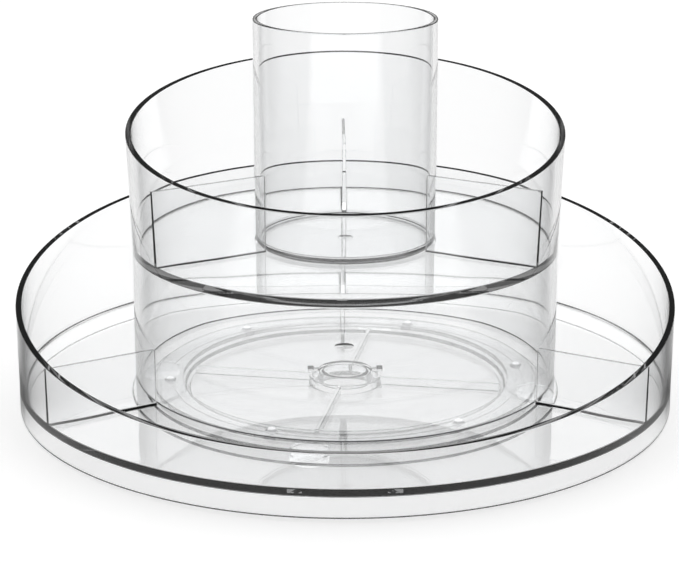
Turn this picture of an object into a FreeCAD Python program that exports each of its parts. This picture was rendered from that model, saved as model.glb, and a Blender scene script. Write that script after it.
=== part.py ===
import FreeCAD, Part
import math
import os

# Two-tier clear turntable organiser.  Millimetres, +Z up.
# The origin is on the axis of rotation, at the surface that the feet stand on.
# The front of the object, where both rims are lowest, faces -Y.

# --- heights above the resting surface -------------------------------------
lower_floor_top = 13.5
upper_floor_top = 74.2
cup_top = 172.7
skirt_bottom = 1.7
lower_divider_top = 38.3
upper_divider_top = 107.7
lower_rim_at_axis = 51.5
upper_rim_at_axis = 124.8
rim_slope = 0.155                  # rise of both rims per millimetre towards +Y

# --- radii -------------------------------------------------------------------
lower_radius = 145.6               # outside of the lower tray at its floor
upper_radius = 94.0                # outside of the upper tier at its floor
cup_radius = 40.0
base_radius = 96.2
ball_track_radius = 78.8

# --- wall thicknesses and drafts -------------------------------------------
tray_wall = 2.6
cup_wall = 2.0
cup_floor = 2.2
tray_floor = 3.0
base_plate = 2.2
lower_wall_draft = 0.6             # degrees, walls lean outwards going up
upper_wall_draft = 2.1
skirt_draft = 0.5                  # degrees, skirts lean outwards going down
drum_draft = 0.25
rim_rounding = 0.5
rim_spare = 2.0                    # wall height above the rim before the rim is cut

# --- dividers ----------------------------------------------------------------
divider_angles = (-150.0, -30.0, 90.0)
divider_foot = 2.2                 # thickness at the floor
divider_tip = 1.5                  # thickness at the free top edge
divider_corner = 0.8               # rounding of the inner top corner
divider_clearance = 0.45           # gap from a divider's inner end to its neighbour

# --- turntable ---------------------------------------------------------------
ball_diameter = 4.76
ball_count = 6
ball_phase = 6.5                   # degrees
ball_running_gap = 0.03
retainer_inner = 73.0
retainer_outer = 86.0
retainer_thickness = 2.0
pocket_clearance = 0.2
base_dish_top = 4.4                # floor of the dished middle of the base disc
dish_radius = 70.0
shoulder_radius = 72.2
flange_start = 90.0                # where the shoulder turns down towards the rim
flange_bottom = 1.9
flange_edge = 1.2                  # height and width of the flange's blunt edge
groove_width = 3.0                 # shallow flat groove that the balls run in
groove_depth = 0.25
base_phase = -10.5                 # degrees, direction of the first rib
rib_count = 4
rib_end = 69.5
rib_width = 1.8
rib_top = 7.9
hub_bore = 14.6
hub_wall = 1.5
spigot_outer = 11.8
spigot_inner = 9.9
spigot_bottom = 5.0
latch_inner = 12.2
latch_outer = 14.2
latch_reach = 16.6                 # tip of the hook under the base disc
latch_width = 5.0
latch_bottom = 0.8
latch_top = 1.6
latch_window_spare = 0.3           # tray floor opening beyond the tip of each hook
foot_radius = 8.3
foot_circle = 86.0
foot_rounding = 0.6

# --- cup seat and moulding marks ---------------------------------------------
seat_depth = 1.0
seat_clearance = 0.35
cup_corner = 2.5
cup_inner_corner = 1.8
tray_corner = 0.6
gate_depth = 0.5
cup_gate_radius = 3.4
tray_gate_radius = 4.5
tray_gate_y = 30.0

lower_floor_bottom = lower_floor_top - tray_floor
upper_floor_bottom = upper_floor_top - tray_floor
groove_bottom = lower_floor_bottom - ball_diameter - 2 * ball_running_gap
ball_centre = lower_floor_bottom - ball_running_gap - ball_diameter / 2
shoulder_top = groove_bottom + groove_depth
shoulder_bottom = shoulder_top - base_plate
base_underside = base_dish_top - base_plate
axis = FreeCAD.Vector(0, 0, 1)
origin = FreeCAD.Vector(0, 0, 0)


def lean(height, degrees):
    """Sideways shift of a drafted wall over a height."""
    return height * math.tan(math.radians(degrees))


def revolve(points):
    """Solid of revolution about Z from (radius, height) corners."""
    corners = [FreeCAD.Vector(radius, 0, height) for radius, height in points]
    outline = Part.makePolygon(corners + [corners[0]])
    return Part.Face(outline).revolve(origin, axis, 360)


def ring(inner, outer, bottom, top):
    """Plain flat ring; a disc when the inner radius is zero."""
    body = Part.makeCylinder(outer, top - bottom, FreeCAD.Vector(0, 0, bottom))
    if inner > 0:
        body = body.cut(Part.makeCylinder(inner, top - bottom, FreeCAD.Vector(0, 0, bottom)))
    return body


def polar(radius, degrees, height):
    angle = math.radians(degrees)
    return FreeCAD.Vector(radius * math.cos(angle), radius * math.sin(angle), height)


def circles_at(shape, height, radius):
    """Circular edges of a shape at one height and radius."""
    found = []
    for edge in shape.Edges:
        curve = edge.Curve
        if isinstance(curve, Part.Circle) and abs(curve.Radius - radius) < 0.01:
            if abs(curve.Center.z - height) < 0.01:
                found.append(edge)
    return found


def above_rim(rim_at_axis):
    """Everything above the sloping plane that a tray's rim lies in."""
    size = 400.0
    block = Part.makeBox(size, size, size, FreeCAD.Vector(-size / 2, -size / 2, 0))
    block.rotate(origin, FreeCAD.Vector(1, 0, 0), math.degrees(math.atan(rim_slope)))
    block.translate(FreeCAD.Vector(0, 0, rim_at_axis))
    return block


def divider(inner, outer, floor_top, top, angle):
    """Upright radial plate, thinner at its top edge, with a rounded inner top corner."""
    foot = divider_foot / 2
    tip = divider_tip / 2
    sink = tray_floor / 2
    section = Part.makePolygon([
        FreeCAD.Vector(inner, -foot, floor_top - sink),
        FreeCAD.Vector(inner, foot, floor_top - sink),
        FreeCAD.Vector(inner, tip, top),
        FreeCAD.Vector(inner, -tip, top),
        FreeCAD.Vector(inner, -foot, floor_top - sink),
    ])
    plate = Part.Face(section).extrude(FreeCAD.Vector(outer - inner, 0, 0))
    corner = [edge for edge in plate.Edges
              if all(abs(v.X - inner) < 0.01 and abs(v.Z - top) < 0.01 for v in edge.Vertexes)]
    plate = plate.makeFillet(divider_corner, corner)
    plate.rotate(origin, axis, angle)
    return plate


def tray_shell(radius, wall_top, wall_draft, floor_top, skirt_end, lower_draft):
    """Drafted wall, flat floor and a skirt below it, as one turned body."""
    rise = wall_top - floor_top
    floor_bottom = floor_top - tray_floor
    drop = floor_bottom - skirt_end
    inner = radius - tray_wall
    return revolve([
        (0, floor_bottom),
        (inner - tray_corner, floor_bottom),
        (inner, floor_bottom - tray_corner),
        (inner + lean(drop, lower_draft), skirt_end),
        (radius + lean(drop, lower_draft), skirt_end),
        (radius, floor_bottom),
        (radius, floor_top),
        (radius + lean(rise, wall_draft), wall_top),
        (inner + lean(rise, wall_draft), wall_top),
        (inner, floor_top + tray_corner),
        (inner - tray_corner, floor_top),
        (0, floor_top),
    ])


def cut_rim(shell, rim_at_axis):
    """Cut a shell along its sloping rim and round the two edges of the cut."""
    trimmed = shell.cut(above_rim(rim_at_axis))
    edges = []
    for edge in trimmed.Edges:
        start, end = edge.FirstParameter, edge.LastParameter
        points = [edge.valueAt(t) for t in (start, (start + end) / 2, end)]
        if all(abs(p.z - rim_at_axis - rim_slope * p.y) < 0.05 for p in points):
            edges.append(edge)
    return trimmed.makeFillet(rim_rounding, edges)


def slab(inner, outer, width, bottom, top):
    """Two opposite blocks across the X axis, between two distances from Z."""
    length, height = outer - inner, top - bottom
    right = Part.makeBox(length, width, height, FreeCAD.Vector(inner, -width / 2, bottom))
    left = Part.makeBox(length, width, height, FreeCAD.Vector(-outer, -width / 2, bottom))
    return right.fuse(left)


def spindle():
    """Spigot under the tray floor and two snap legs that hook under the base disc."""
    root = lower_floor_top - tray_floor / 2
    spigot = ring(spigot_inner, spigot_outer, spigot_bottom, root)
    legs = slab(latch_inner, latch_outer, latch_width, latch_bottom, root)
    hooks = slab(latch_outer, latch_reach, latch_width, latch_bottom, latch_top)
    return spigot.fuse(legs).fuse(hooks)


def lower_tray():
    wall_top = lower_rim_at_axis + rim_slope * lower_radius + rim_spare
    shell = tray_shell(lower_radius, wall_top, lower_wall_draft,
                       lower_floor_top, skirt_bottom, skirt_draft)
    shell = cut_rim(shell, lower_rim_at_axis)
    inner = upper_radius + lean(upper_floor_bottom - lower_floor_top, drum_draft) + divider_clearance
    outer = lower_radius - tray_wall / 2
    for angle in divider_angles:
        shell = shell.fuse(divider(inner, outer, lower_floor_top, lower_divider_top, angle))
    shell = shell.fuse(spindle())
    window_end = latch_reach + latch_window_spare
    shell = shell.cut(slab(latch_outer, window_end, latch_width, lower_floor_bottom, lower_floor_top))
    gate = Part.makeCylinder(tray_gate_radius, gate_depth,
                             FreeCAD.Vector(0, tray_gate_y, lower_floor_top - gate_depth))
    return shell.cut(gate).removeSplitter()


def upper_tier():
    wall_top = upper_rim_at_axis + rim_slope * upper_radius + rim_spare
    shell = tray_shell(upper_radius, wall_top, upper_wall_draft,
                       upper_floor_top, lower_floor_top, drum_draft)
    shell = cut_rim(shell, upper_rim_at_axis)
    inner = cup_radius + divider_clearance
    outer = upper_radius - tray_wall / 2
    for angle in divider_angles:
        shell = shell.fuse(divider(inner, outer, upper_floor_top, upper_divider_top, angle))
    seat = ring(0, cup_radius + seat_clearance, upper_floor_top - seat_depth, upper_floor_top)
    return shell.cut(seat).removeSplitter()


def cup():
    bottom = upper_floor_top - seat_depth
    body = Part.makeCylinder(cup_radius, cup_top - bottom, FreeCAD.Vector(0, 0, bottom))
    body = body.makeFillet(cup_corner, circles_at(body, bottom, cup_radius))
    bore_radius = cup_radius - cup_wall
    bore = Part.makeCylinder(bore_radius, cup_top - bottom, FreeCAD.Vector(0, 0, bottom + cup_floor))
    bore = bore.makeFillet(cup_inner_corner, circles_at(bore, bottom + cup_floor, bore_radius))
    body = body.cut(bore)
    rim = circles_at(body, cup_top, cup_radius) + circles_at(body, cup_top, bore_radius)
    body = body.makeFillet(rim_rounding, rim)
    gate = Part.makeCylinder(cup_gate_radius, gate_depth, FreeCAD.Vector(0, 0, bottom))
    return body.cut(gate)


def base_disc():
    """Dished disc with a raised shoulder, a turned-down flange, a hub and four ribs."""
    body = revolve([
        (hub_bore, base_underside),
        (dish_radius, base_underside),
        (shoulder_radius, shoulder_bottom),
        (flange_start, shoulder_bottom),
        (base_radius - flange_edge, flange_bottom),
        (base_radius, flange_bottom),
        (base_radius, flange_bottom + flange_edge),
        (flange_start, shoulder_top),
        (ball_track_radius + groove_width / 2, shoulder_top),
        (ball_track_radius + groove_width / 2, groove_bottom),
        (ball_track_radius - groove_width / 2, groove_bottom),
        (ball_track_radius - groove_width / 2, shoulder_top),
        (shoulder_radius, shoulder_top),
        (dish_radius, base_dish_top),
        (hub_bore + hub_wall, base_dish_top),
        (hub_bore + hub_wall, rib_top),
        (hub_bore, rib_top),
    ])
    start = hub_bore + hub_wall / 2
    for index in range(rib_count):
        rib_root = base_underside + base_plate / 2
        rib = Part.makeBox(rib_end - start, rib_width, rib_top - rib_root,
                           FreeCAD.Vector(start, -rib_width / 2, rib_root))
        rib.rotate(origin, axis, base_phase + index * 360.0 / rib_count)
        body = body.fuse(rib)
    return body.removeSplitter()


def foot_pad(index, disc):
    """Round soft pad that fills up to the underside of the base disc, in line with a rib."""
    centre = polar(foot_circle, base_phase + index * 360.0 / rib_count, 0)
    pad = Part.makeCylinder(foot_radius, shoulder_bottom, centre)
    pad = pad.makeFillet(foot_rounding, circles_at(pad, 0, foot_radius))
    return pad.cut(disc)


def ball(index):
    return Part.makeSphere(ball_diameter / 2,
                           polar(ball_track_radius, ball_phase + index * 360.0 / ball_count, ball_centre))


def ball_retainer():
    """Flat ring that keeps the balls evenly spaced."""
    bottom = ball_centre - retainer_thickness / 2
    body = ring(retainer_inner, retainer_outer, bottom, bottom + retainer_thickness)
    for index in range(ball_count):
        centre = polar(ball_track_radius, ball_phase + index * 360.0 / ball_count, bottom)
        pocket = Part.makeCylinder(ball_diameter / 2 + pocket_clearance, retainer_thickness, centre)
        body = body.cut(pocket)
    return body


def save(name, shape):
    volumes = [solid.Volume for solid in shape.Solids]
    print(name, "valid" if shape.isValid() else "NOT VALID", len(volumes), round(sum(volumes), 1))
    shape.exportStep("parts/" + name + ".step")


os.makedirs("parts", exist_ok=True)
base = base_disc()
save("base_disc", base)
save("ball_retainer", ball_retainer())
save("lower_tray", lower_tray())
save("upper_tier", upper_tier())
save("cup", cup())
for number in range(rib_count):
    save("foot_pad_%d" % (number + 1), foot_pad(number, base))
for number in range(ball_count):
    save("ball_%d" % (number + 1), ball(number))
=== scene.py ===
import math

import bmesh
import bpy
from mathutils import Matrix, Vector


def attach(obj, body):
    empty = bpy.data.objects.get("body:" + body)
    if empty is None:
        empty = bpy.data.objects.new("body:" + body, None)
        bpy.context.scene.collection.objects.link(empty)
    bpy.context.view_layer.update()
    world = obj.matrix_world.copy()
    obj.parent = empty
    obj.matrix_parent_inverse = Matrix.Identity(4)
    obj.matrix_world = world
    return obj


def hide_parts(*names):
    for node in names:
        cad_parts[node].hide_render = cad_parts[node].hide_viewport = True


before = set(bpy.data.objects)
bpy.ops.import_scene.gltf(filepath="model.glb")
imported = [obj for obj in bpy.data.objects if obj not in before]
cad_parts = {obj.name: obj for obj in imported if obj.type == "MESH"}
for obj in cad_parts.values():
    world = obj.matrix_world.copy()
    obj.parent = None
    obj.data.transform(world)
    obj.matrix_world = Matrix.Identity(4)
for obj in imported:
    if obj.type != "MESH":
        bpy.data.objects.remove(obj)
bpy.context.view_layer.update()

# ---------------------------------------------------------------- dimensions, mm
TURNS = 384                        # segments round each lathe-turned shell
SLOPE = 0.155                      # rise of both rims towards +Y
DIVIDERS = (-150.0, -30.0, 90.0)

LOW_FLOOR = 13.5
LOW_R = 145.6
LOW_RIM = 51.5
LOW_DIVIDER = 38.3
UP_FLOOR = 74.2
UP_R = 94.0
UP_RIM = 124.8
UP_DIVIDER = 107.7
SKIRT = 1.7
WALL = 2.6
FLOOR = 3.0
CUP_R = 40.0
CUP_TOP = 172.7
CUP_SEAT = 73.2
BALL_R = 2.38
BALL_RING = 78.8
BALL_Z = 13.5 - 3.0 - 0.03 - BALL_R
BALL_PHASE = 6.5
BASE_PHASE = -10.5


def tan(degrees):
    return math.tan(math.radians(degrees))


# ---------------------------------------------------------------- mesh helpers
def new_object(name, bm):
    mesh = bpy.data.meshes.new(name)
    bm.to_mesh(mesh)
    bm.free()
    obj = bpy.data.objects.new(name, mesh)
    bpy.context.scene.collection.objects.link(obj)
    return obj


def lathe(name, outline, turns=TURNS):
    """A closed shell of revolution in metres; outline(angle) gives its (r, z) loop in mm."""
    bm = bmesh.new()
    loops = []
    poles = {}
    for i in range(turns):
        a = 2 * math.pi * i / turns
        c, s = math.cos(a), math.sin(a)
        loop = []
        for k, (r, z) in enumerate(outline(a)):
            if r < 1e-6:
                if k not in poles:
                    poles[k] = bm.verts.new((0, 0, z / 1000))
                loop.append(poles[k])
            else:
                loop.append(bm.verts.new((r * c / 1000, r * s / 1000, z / 1000)))
        loops.append(loop)
    n = len(loops[0])
    for i in range(turns):
        one, two = loops[i], loops[(i + 1) % turns]
        for k in range(n):
            m = (k + 1) % n
            corners = []
            for v in (one[k], two[k], two[m], one[m]):
                if v not in corners:
                    corners.append(v)
            if len(corners) > 2:
                bm.faces.new(corners)
    bmesh.ops.recalc_face_normals(bm, faces=bm.faces)
    return new_object(name, bm)


def corner(at, before, after, radius, steps=4):
    """Rounds the corner of a profile between the points before and after it."""
    at, before, after = Vector(at), Vector(before), Vector(after)
    one = (before - at).normalized()
    two = (after - at).normalized()
    made = []
    for i in range(steps + 1):
        t = 0.5 * math.pi * i / steps
        p = at + one * radius * (1 - math.sin(t)) + two * radius * (1 - math.cos(t))
        made.append((p.x, p.y))
    return made


def rounded(points, steps=3):
    """A closed profile from (r, z) or (r, z, rounding) corners."""
    made = []
    for k, point in enumerate(points):
        if len(point) == 2:
            made.append(point)
        else:
            after = points[(k + 1) % len(points)]
            made += corner(point[:2], points[k - 1][:2], after[:2], point[2], steps)
    return made


def line(a, b, steps):
    """Points between two profile points, without the ends."""
    return [(a[0] + (b[0] - a[0]) * i / steps, a[1] + (b[1] - a[1]) * i / steps) for i in range(1, steps)]


def rim_height(angle, middle, radius, floor, draft):
    """Height where a drafted wall meets the sloping rim plane."""
    s = SLOPE * math.sin(angle)
    return (middle + s * (radius - floor * tan(draft))) / (1 - s * tan(draft))


def block(name, size, place, turn=0.0, bevel=0.0):
    """A bevelled bar, mm: size (x, y, z), place = low corner in x, middle in y, low in z."""
    bm = bmesh.new()
    bmesh.ops.create_cube(bm, size=1.0)
    for v in bm.verts:
        v.co = Vector(((v.co.x + 0.5) * size[0] + place[0], v.co.y * size[1] + place[1],
                       (v.co.z + 0.5) * size[2] + place[2])) / 1000
    if bevel:
        bmesh.ops.bevel(bm, geom=list(bm.edges), offset=bevel / 1000, segments=3, profile=0.5, affect="EDGES")
    obj = new_object(name, bm)
    turn_mesh(obj, turn)
    return obj


def turn_mesh(obj, degrees):
    a = math.radians(degrees)
    c, s = math.cos(a), math.sin(a)
    for v in obj.data.vertices:
        v.co = (v.co.x * c - v.co.y * s, v.co.x * s + v.co.y * c, v.co.z)


def bulge(share):
    """How far a quarter-round has fallen back at a share of its height."""
    return 1 - math.sqrt(max(0.0, 1 - share * share))


def divider(name, inner, outer, floor, top, turn, fillet):
    """A radial plate, thinner at the top, with a fillet at its foot and a rounded inner end."""
    foot, tip = 1.1, 0.75              # half thicknesses
    edge, arc = 0.15, 0.8              # roundings of the free edges and of the inner top corner
    low = floor - 1.5
    heights = [low, floor] + [floor + fillet * k / 4 for k in (1, 2, 3, 4)]
    heights += [top - drop for drop in (arc, 0.55, 0.35, 0.22, edge, 0.07, 0.02, 0.0)]
    bm = bmesh.new()
    rings = []
    for z in heights:
        half = foot + (tip - foot) * (z - low) / (top - low)
        half += fillet * bulge(min(1.0, max(0.0, (floor + fillet - z) / fillet)))
        half -= edge * bulge(max(0.0, (z - top + edge) / edge))
        start = inner + arc * bulge(max(0.0, (z - top + arc) / arc))
        side = [(outer, -half)]
        side += corner((start, -half), (outer, -half), (start, half), edge, 3)
        side += corner((start, half), (start, -half), (outer, half), edge, 3)
        side.append((outer, half))
        rings.append([bm.verts.new((x / 1000, y / 1000, z / 1000)) for x, y in side])
    count = len(rings[0])
    bm.faces.new(rings[0][::-1])
    bm.faces.new(rings[-1])
    for one, two in zip(rings, rings[1:]):
        for k in range(count):
            m = (k + 1) % count
            bm.faces.new((one[k], one[m], two[m], two[k]))
    bmesh.ops.recalc_face_normals(bm, faces=bm.faces)
    obj = new_object(name, bm)
    turn_mesh(obj, turn)
    return obj


def combine(body, parts, operation):
    """Joins or cuts all of parts with body in one exact boolean."""
    group = bpy.data.collections.new("operands")
    bpy.context.scene.collection.children.link(group)
    for p in parts:
        bpy.context.scene.collection.objects.unlink(p)
        group.objects.link(p)
    mod = body.modifiers.new("combine", "BOOLEAN")
    mod.operation = operation
    mod.solver = "EXACT"
    mod.operand_type = "COLLECTION"
    mod.collection = group
    graph = bpy.context.evaluated_depsgraph_get()
    made = bpy.data.meshes.new_from_object(body.evaluated_get(graph))
    body.modifiers.remove(mod)
    old = body.data
    body.data = made
    bpy.data.meshes.remove(old)
    for p in parts:
        bpy.data.objects.remove(p)
    bpy.data.collections.remove(group)
    return body


def smooth(obj, degrees=32.0):
    """Smooth shading whose normals follow the large faces, so that flats stay flat to their edges."""
    mesh = obj.data
    mesh.polygons.foreach_set("use_smooth", [True] * len(mesh.polygons))
    mesh.set_sharp_from_angle(angle=math.radians(degrees))
    mod = obj.modifiers.new("weighted", "WEIGHTED_NORMAL")
    mod.mode = "FACE_AREA"
    mod.weight = 100
    mod.keep_sharp = True
    graph = bpy.context.evaluated_depsgraph_get()
    made = bpy.data.meshes.new_from_object(obj.evaluated_get(graph), preserve_all_data_layers=True,
                                           depsgraph=graph)
    obj.modifiers.remove(mod)
    obj.data = made
    bpy.data.meshes.remove(mesh)
    return obj


# ---------------------------------------------------------------- materials
def clear_plastic(name, tint, ior=1.53, roughness=0.0, waves=0.0, size=30.0):
    """Clear moulded plastic with a faint surface waviness."""
    material = bpy.data.materials.new(name)
    material.use_nodes = True
    nodes, links = material.node_tree.nodes, material.node_tree.links
    shader = nodes["Principled BSDF"]
    shader.inputs["Base Color"].default_value = (*tint, 1.0)
    shader.inputs["Roughness"].default_value = roughness
    shader.inputs["IOR"].default_value = ior
    shader.inputs["Transmission Weight"].default_value = 1.0
    if waves:
        place = nodes.new("ShaderNodeTexCoord")
        noise = nodes.new("ShaderNodeTexNoise")
        noise.inputs["Scale"].default_value = size
        noise.inputs["Detail"].default_value = 1.5
        bump = nodes.new("ShaderNodeBump")
        bump.inputs["Strength"].default_value = 1.0
        bump.inputs["Distance"].default_value = waves
        links.new(place.outputs["Object"], noise.inputs["Vector"])
        links.new(noise.outputs["Fac"], bump.inputs["Height"])
        links.new(bump.outputs["Normal"], shader.inputs["Normal"])
    return material


def steel():
    """Polished steel with painted light: its colour and emission follow the normal's height, dark round the sides as
    painted shade and glowing near-white in its upper part as a painted highlight standing in for the soft overhead
    light.
    """
    material = bpy.data.materials.new("bearing_steel_painted_highlight")
    material.use_nodes = True
    nodes, links = material.node_tree.nodes, material.node_tree.links
    shader = nodes["Principled BSDF"]
    shader.inputs["Metallic"].default_value = 1.0
    shader.inputs["Roughness"].default_value = 0.18
    place = nodes.new("ShaderNodeTexCoord")
    split = nodes.new("ShaderNodeSeparateXYZ")
    # painted shade and highlight: near-black steel where the normal points sideways or down, near-white where it points
    # up
    painted_highlight_ramp = nodes.new("ShaderNodeValToRGB")
    painted_highlight_ramp.color_ramp.elements[0].position = 0.58
    painted_highlight_ramp.color_ramp.elements[0].color = (0.16, 0.16, 0.17, 1)
    painted_highlight_ramp.color_ramp.elements[1].position = 0.82
    painted_highlight_ramp.color_ramp.elements[1].color = (0.98, 0.98, 0.99, 1)
    links.new(place.outputs["Normal"], split.inputs["Vector"])
    links.new(split.outputs["Z"], painted_highlight_ramp.inputs["Fac"])
    links.new(painted_highlight_ramp.outputs["Color"], shader.inputs["Base Color"])
    # the same ramp also drives emission, so the ball's top glows as a painted highlight, not a reflection of any lamp
    links.new(painted_highlight_ramp.outputs["Color"], shader.inputs["Emission Color"])
    shader.inputs["Emission Strength"].default_value = 0.9
    return material


def paint(obj, material):
    obj.data.materials.clear()
    obj.data.materials.append(material)
    return obj


# ---------------------------------------------------------------- lower tray
def low_outline(angle):
    draft = 0.55
    r_in = LOW_R - WALL
    zo = rim_height(angle, LOW_RIM, LOW_R, LOW_FLOOR, draft)
    zi = rim_height(angle, LOW_RIM, r_in, LOW_FLOOR, draft)
    top_out = (LOW_R + (zo - LOW_FLOOR) * tan(draft), zo)
    top_in = (r_in + (zi - LOW_FLOOR) * tan(draft), zi)
    under = LOW_FLOOR - FLOOR
    skirt = 0.12
    foot_out = (LOW_R + skirt, SKIRT)
    foot_in = (r_in + skirt, SKIRT)
    mid_out = (LOW_R, LOW_FLOOR)
    mid_in = (r_in, LOW_FLOOR)
    under_in = (r_in, under)
    p = []
    p += corner(foot_out, foot_in, mid_out, 0.5, 3)
    p.append((LOW_R, LOW_FLOOR))
    p += line(mid_out, top_out, 3)
    p += corner(top_out, mid_out, top_in, 0.35)
    p += corner(top_in, top_out, mid_in, 0.35)
    p += line(top_in, mid_in, 3)
    p += corner(mid_in, top_in, (0, LOW_FLOOR), 0.6)
    for r in (128.0, 112.0, 97.0, 88.0, 70.0, 50.0, 36.0, 22.0, 12.0, 5.0, 0.0):
        p.append((r, LOW_FLOOR))
    p.append((0.0, under))
    p.append((9.9 - 0.6, under))
    p += corner((9.9, under), (0, under), (9.9, 5.0), 0.4, 2)
    p += corner((9.9, 5.0), (9.9, under), (11.8, 5.0), 0.35, 2)
    p += corner((11.8, 5.0), (9.9, 5.0), (11.8, under), 0.35, 2)
    p += corner((11.8, under), (11.8, 5.0), (60, under), 0.4, 2)
    for r in (22.0, 40.0, 60.0, 80.0, 100.0, 120.0):
        p.append((r, under))
    p += corner(under_in, (0, under), foot_in, 0.6)
    p += corner(foot_in, under_in, foot_out, 0.5, 3)
    return p


lower = lathe("lower_tray_shell", low_outline)
joined = [divider("d", 94.7, LOW_R - 1.3, LOW_FLOOR, LOW_DIVIDER, a, 0.7) for a in DIVIDERS]
for side in (0, 180):
    joined.append(block("leg", (2.0, 5.0, 11.2), (12.2, 0, 0.8), side, 0.25))
    joined.append(block("hook", (2.9, 5.0, 0.8), (13.7, 0, 0.8), side, 0.15))
lower = combine(lower, joined, "UNION")
cuts = [block("window", (2.7, 5.0, 5.0), (14.2, 0, 9.5), side) for side in (0, 180)]
cuts.append(lathe("gate", lambda a: [(0.0, LOW_FLOOR - 0.35), (3.9, LOW_FLOOR - 0.35), (4.5, LOW_FLOOR - 0.1),
                                     (4.5, LOW_FLOOR + 0.4), (0.0, LOW_FLOOR + 0.4)], 48))
for v in cuts[-1].data.vertices:
    v.co.y += 0.030
lower = smooth(combine(lower, cuts, "DIFFERENCE"))


# ---------------------------------------------------------------- upper tier
def up_outline(angle):
    draft = 2.1
    r_in = UP_R - WALL
    zo = rim_height(angle, UP_RIM, UP_R, UP_FLOOR, draft)
    zi = rim_height(angle, UP_RIM, r_in, UP_FLOOR, draft)
    top_out = (UP_R + (zo - UP_FLOOR) * tan(draft), zo)
    top_in = (r_in + (zi - UP_FLOOR) * tan(draft), zi)
    under = UP_FLOOR - FLOOR
    base = LOW_FLOOR + 0.04
    foot_out = (UP_R + 0.3, base)
    foot_in = (UP_R - 2.5 + 0.3, base)
    mid_out = (UP_R, UP_FLOOR)
    mid_in = (r_in, UP_FLOOR)
    under_in = (UP_R - 2.5, under)
    seat = CUP_R + 0.35
    p = []
    p += corner(foot_out, foot_in, mid_out, 0.4, 3)
    p += line(foot_out, mid_out, 4)
    p.append(mid_out)
    p += line(mid_out, top_out, 3)
    p += corner(top_out, mid_out, top_in, 0.35)
    p += corner(top_in, top_out, mid_in, 0.35)
    p += line(top_in, mid_in, 3)
    p += corner(mid_in, top_in, (0, UP_FLOOR), 0.6)
    for r in (78.0, 64.0, 50.0):
        p.append((r, UP_FLOOR))
    p += corner((seat, UP_FLOOR), (60, UP_FLOOR), (seat, UP_FLOOR - 1), 0.25, 2)
    p += corner((seat, UP_FLOOR - 1), (seat, UP_FLOOR), (0, UP_FLOOR - 1), 0.25, 2)
    for r in (30.0, 18.0, 8.0, 0.0):
        p.append((r, UP_FLOOR - 1))
    p.append((0.0, under))
    for r in (14.0, 30.0, 46.0, 62.0, 78.0):
        p.append((r, under))
    p += corner(under_in, (0, under), foot_in, 0.6)
    p += line(under_in, foot_in, 4)
    p += corner(foot_in, under_in, foot_out, 0.4, 3)
    return p


upper = lathe("upper_tier_shell", up_outline)
upper = combine(upper, [divider("d", 40.45, UP_R - 1.0, UP_FLOOR, UP_DIVIDER, a, 0.4) for a in DIVIDERS], "UNION")
smooth(upper)


# ---------------------------------------------------------------- cup
def cup_outline(angle):
    low = CUP_SEAT + 0.04
    inner = CUP_R - 2.0
    floor = CUP_SEAT + 2.2
    p = []
    p += corner((CUP_R, low), (0, low), (CUP_R, CUP_TOP), 2.5, 6)
    p += line((CUP_R, low + 2.5), (CUP_R, CUP_TOP - 0.7), 6)
    p += corner((CUP_R, CUP_TOP), (CUP_R, low), (0, CUP_TOP), 0.7)
    p += corner((inner, CUP_TOP), (CUP_R, CUP_TOP), (inner, low), 0.7)
    p += line((inner, CUP_TOP - 0.7), (inner, floor + 1.8), 6)
    p += corner((inner, floor), (inner, CUP_TOP), (0, floor), 1.8, 5)
    for r in (28.0, 18.0, 9.0, 0.0):
        p.append((r, floor))
    p.append((0.0, low + 0.5))
    p.append((1.4, low + 0.5))
    p.append((1.6, low + 0.35))
    p.append((3.2, low + 0.35))
    p.append((3.5, low))
    for r in (9.0, 18.0, 28.0):
        p.append((r, low))
    return p


cup = smooth(lathe("cup_shell", cup_outline), 40)


# ---------------------------------------------------------------- base, retainer, balls
def base_outline(angle):
    return rounded([
        (14.6, 2.23, 0.3), (40.0, 2.23), (70.0, 2.23, 0.3), (72.2, 3.76, 0.3), (90.0, 3.76, 0.3),
        (95.0, 1.93, 0.2), (96.2, 1.93, 0.25), (96.2, 3.1, 0.3), (90.0, 5.93, 0.3), (80.3, 5.93, 0.08),
        (80.3, 5.68, 0.08), (77.3, 5.68, 0.08), (77.3, 5.93, 0.08), (72.2, 5.93, 0.3), (70.0, 4.4, 0.3),
        (30.0, 4.4), (16.1, 4.4, 0.4), (16.1, 7.9, 0.4), (14.6, 7.9, 0.4)])


base = lathe("base_disc_shell", base_outline)
ribs = [block("rib", (69.5 - 15.35, 1.8, 7.9 - 3.3), (15.35, 0, 3.3), BASE_PHASE + 90 * k, 0.3) for k in range(4)]
base = smooth(combine(base, ribs, "UNION"))

half = 1.0
cage = lathe("ball_retainer_ring",
             lambda a: corner((73.0, BALL_Z - half), (73, 20), (80, BALL_Z - half), 0.3, 3)
             + [(79.5, BALL_Z - half)]
             + corner((86.0, BALL_Z - half), (80, BALL_Z - half), (86, 20), 0.3, 3)
             + corner((86.0, BALL_Z + half), (86, 0), (80, BALL_Z + half), 0.3, 3)
             + [(79.5, BALL_Z + half)]
             + corner((73.0, BALL_Z + half), (80, BALL_Z + half), (73, 0), 0.3, 3))
pockets = []
for k in range(6):
    a = math.radians(BALL_PHASE + 60 * k)
    pocket = lathe("pocket", lambda t: [(0.0, BALL_Z - 3), (2.6, BALL_Z - 3), (2.6, BALL_Z + 3), (0.0, BALL_Z + 3)], 40)
    for v in pocket.data.vertices:
        v.co.x += BALL_RING * math.cos(a) / 1000
        v.co.y += BALL_RING * math.sin(a) / 1000
    pockets.append(pocket)
cage = smooth(combine(cage, pockets, "DIFFERENCE"))

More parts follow.
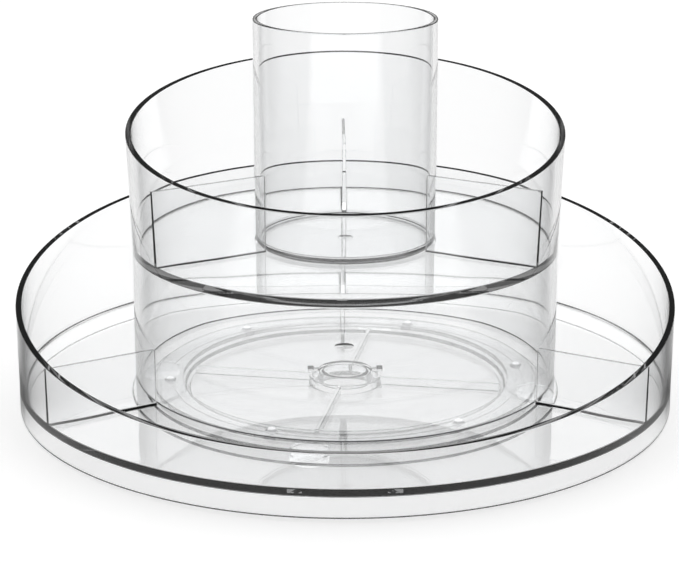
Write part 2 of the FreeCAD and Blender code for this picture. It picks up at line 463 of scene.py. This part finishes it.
balls = []
for k in range(6):
    a = math.radians(BALL_PHASE + 60 * k)
    bm = bmesh.new()
    bmesh.ops.create_icosphere(bm, subdivisions=4, radius=BALL_R / 1000)
    bmesh.ops.translate(bm, verts=bm.verts, vec=(BALL_RING * math.cos(a) / 1000,
                                                 BALL_RING * math.sin(a) / 1000, BALL_Z / 1000))
    balls.append(smooth(new_object("bearing_ball_%d" % (k + 1), bm), 60))

# ---------------------------------------------------------------- finishes
tray_mat = clear_plastic("clear_tray_plastic", (0.985, 0.988, 0.99), waves=0.00002, size=28.0)
cup_mat = clear_plastic("clear_cup_plastic", (0.985, 0.988, 0.99), waves=0.00002, size=24.0)
base_mat = clear_plastic("clear_base_plastic", (0.985, 0.988, 0.99), roughness=0.05)
pad_mat = clear_plastic("clear_silicone_pad", (0.95, 0.955, 0.96), ior=1.41, roughness=0.1)
steel_painted_highlight_mat = steel()

for obj, material, body, node, slot_name in (
        (lower, tray_mat, "lower_tray", "lower_tray", "clear_plastic"),
        (upper, tray_mat, "upper_tier", "upper_tier", "clear_plastic"),
        (cup, cup_mat, "cup", "cup", "clear_plastic"),
        (base, base_mat, "base", "base_disc", "clear_plastic"),
        (cage, base_mat, "ball_ring", "ball_retainer", "clear_plastic")):
    paint(obj, material)
    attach(obj, body)
    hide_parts(node)
for k, obj in enumerate(balls):
    paint(obj, steel_painted_highlight_mat)
    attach(obj, "ball_ring")
    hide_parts("ball_%d" % (k + 1))
for k in range(4):
    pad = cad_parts["foot_pad_%d" % (k + 1)]
    paint(pad, pad_mat)

# ---------------------------------------------------------------- floor, light, camera
bm = bmesh.new()
bmesh.ops.create_grid(bm, x_segments=1, y_segments=1, size=6.0)
floor = new_object("studio_floor", bm)
floor_mat = bpy.data.materials.new("studio_floor_white")
floor_mat.use_nodes = True
nodes, links = floor_mat.node_tree.nodes, floor_mat.node_tree.links
shader = nodes["Principled BSDF"]
shader.inputs["Base Color"].default_value = (0.5, 0.5, 0.5, 1)
shader.inputs["Roughness"].default_value = 0.8
shader.inputs["Specular IOR Level"].default_value = 0.3
shader.inputs["Emission Color"].default_value = (1, 1, 1, 1)


def calc(tree, operation, *values):
    """One Math node; a value is a number or another node's output."""
    node = tree.nodes.new("ShaderNodeMath")
    node.operation = operation
    for socket, value in zip(node.inputs, values):
        if isinstance(value, (int, float)):
            socket.default_value = value
        else:
            tree.links.new(value, socket)
    return node.outputs["Value"]


def fade(tree, value, start, end):
    """0 at start and 1 at end, with a smooth change between them; start may be the larger."""
    node = tree.nodes.new("ShaderNodeMapRange")
    node.interpolation_type = "SMOOTHSTEP"
    low, high = min(start, end), max(start, end)
    node.inputs["From Min"].default_value = low
    node.inputs["From Max"].default_value = high
    node.inputs["To Min"].default_value = 0.0 if start < end else 1.0
    node.inputs["To Max"].default_value = 1.0 if start < end else 0.0
    tree.links.new(value, node.inputs["Value"])
    return node.outputs["Result"]


def mirror_masks(tree):
    """1 for light that met no, one, or more mirror-like bounces, as black flags would sort it."""
    depth = tree.nodes.new("ShaderNodeLightPath").outputs["Glossy Depth"]
    none = calc(tree, "LESS_THAN", depth, 0.5)
    more = calc(tree, "GREATER_THAN", depth, 1.5)
    one = calc(tree, "SUBTRACT", calc(tree, "SUBTRACT", 1.0, none), more)
    return none, one, more


def direction(tree, output, kind="ShaderNodeTexCoord"):
    split = tree.nodes.new("ShaderNodeSeparateXYZ")
    tree.links.new(tree.nodes.new(kind).outputs[output], split.inputs["Vector"])
    return split.outputs["X"], split.outputs["Y"], split.outputs["Z"]


tree = floor_mat.node_tree
none, one, more = mirror_masks(tree)
x, y, z = direction(tree, "Position", "ShaderNodeNewGeometry")
aside = calc(tree, "MULTIPLY_ADD", calc(tree, "ABSOLUTE", y), -0.8, calc(tree, "ABSOLUTE", x))
lit_strip = fade(tree, aside, 0.16, 0.08)
distance = calc(tree, "SQRT", calc(tree, "ADD", calc(tree, "MULTIPLY", x, x), calc(tree, "MULTIPLY", y, y)))
lit_disc = fade(tree, distance, 0.30, 0.10)
strength = calc(tree, "MULTIPLY", none, 0.66)
lit = calc(tree, "MULTIPLY_ADD", lit_strip, 0.8, 0.08)
strength = calc(tree, "MULTIPLY_ADD", one, lit, strength)
lit = calc(tree, "MULTIPLY_ADD", lit_disc, 0.27, 0.05)
strength = calc(tree, "MULTIPLY_ADD", more, lit, strength)
tree.links.new(strength, shader.inputs["Emission Strength"])
paint(floor, floor_mat)

world = bpy.data.worlds.new("studio")
bpy.context.scene.world = world
world.use_nodes = True
tree = world.node_tree
none, one, more = mirror_masks(tree)
x, y, z = direction(tree, "Generated")
sideways = calc(tree, "ABSOLUTE", x)
front = fade(tree, calc(tree, "SUBTRACT", calc(tree, "MULTIPLY", y, -1.0), sideways), -0.15, 0.15)
overhead = fade(tree, z, 0.38, 0.46)
strip = calc(tree, "MULTIPLY", fade(tree, z, 0.13, 0.21), fade(tree, z, 0.46, 0.38))
ambient = calc(tree, "MULTIPLY", overhead, calc(tree, "MULTIPLY_ADD", front, -1.0, 1.2))
strength = calc(tree, "MULTIPLY", calc(tree, "MULTIPLY_ADD", strip, 0.29, ambient), none)
strength = calc(tree, "MULTIPLY_ADD", one, calc(tree, "MULTIPLY_ADD", strip, 1.25, 0.15), strength)
strength = calc(tree, "MULTIPLY_ADD", more, calc(tree, "MULTIPLY_ADD", strip, 0.2, 0.06), strength)
tree.links.new(strength, tree.nodes["Background"].inputs["Strength"])
tree.nodes["Background"].inputs["Color"].default_value = (1, 1, 1, 1)

camera_data = bpy.data.cameras.new("camera")
camera_data.lens = 112.9
camera_data.sensor_width = 36.0
camera_data.clip_end = 50.0
camera = bpy.data.objects.new("camera", camera_data)
bpy.context.scene.collection.objects.link(camera)
bearing = math.radians(-90.7)
camera.location = (0.909 * math.cos(bearing), 0.909 * math.sin(bearing), 0.3323)
heading = bearing + math.pi + math.radians(0.159)
camera.rotation_euler = (math.radians(90 - 17.05), 0, heading - math.pi / 2)
bpy.context.scene.camera = camera

scene = bpy.context.scene
scene.view_settings.view_transform = "Standard"
scene.cycles.max_bounces = 24
scene.cycles.transmission_bounces = 24
scene.cycles.glossy_bounces = 12
scene.cycles.diffuse_bounces = 4
scene.cycles.transparent_max_bounces = 16
